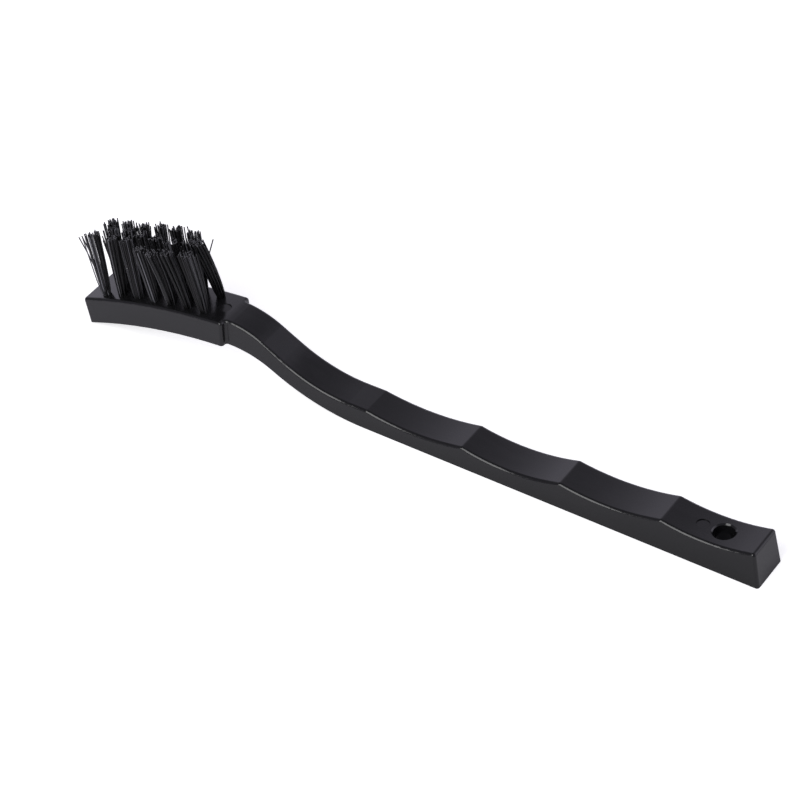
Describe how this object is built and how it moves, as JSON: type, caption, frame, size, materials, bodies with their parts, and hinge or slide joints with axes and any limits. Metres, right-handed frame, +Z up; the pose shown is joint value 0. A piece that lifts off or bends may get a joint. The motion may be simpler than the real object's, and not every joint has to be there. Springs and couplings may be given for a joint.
{
  "type": "groove brush",
  "caption": "Slim moulded hand brush with an arched head, S-curved neck, ridged finger grip and hanging hole; stiff bristle tufts are anchored in blind holes in the head.",
  "frame": {"origin": "on the flat underside, half-way along the moulded body", "axes": "+X from the head's tip towards the hanging hole, +Z up out of the bristle side, +Y across the brush"},
  "size_m": [0.1698, 0.012, 0.0288],
  "materials": {
    "body": "satin black moulded plastic",
    "bristle": "black nylon filament, cut ends",
    "anchor": "flat rolled wire, as sheared"
  },
  "bodies": {
    "root": {"body": "body", "tuft_front_1": "bristle", "tuft_front_2": "bristle", "tuft_front_3": "bristle", "tuft_front_4": "bristle", "tuft_front_5": "bristle", "tuft_front_6": "bristle", "tuft_front_7": "bristle", "tuft_middle_1": "bristle", "tuft_middle_2": "bristle", "tuft_middle_3": "bristle", "tuft_middle_4": "bristle", "tuft_middle_5": "bristle", "tuft_middle_6": "bristle", "tuft_back_1": "bristle", "tuft_back_2": "bristle", "tuft_back_3": "bristle", "tuft_back_4": "bristle", "tuft_back_5": "bristle", "tuft_back_6": "bristle", "tuft_back_7": "bristle", "anchor_front_1": "anchor", "anchor_front_2": "anchor", "anchor_front_3": "anchor", "anchor_front_4": "anchor", "anchor_front_5": "anchor", "anchor_front_6": "anchor", "anchor_front_7": "anchor", "anchor_middle_1": "anchor", "anchor_middle_2": "anchor", "anchor_middle_3": "anchor", "anchor_middle_4": "anchor", "anchor_middle_5": "anchor", "anchor_middle_6": "anchor", "anchor_back_1": "anchor", "anchor_back_2": "anchor", "anchor_back_3": "anchor", "anchor_back_4": "anchor", "anchor_back_5": "anchor", "anchor_back_6": "anchor", "anchor_back_7": "anchor"}
  },
  "joints": []
}
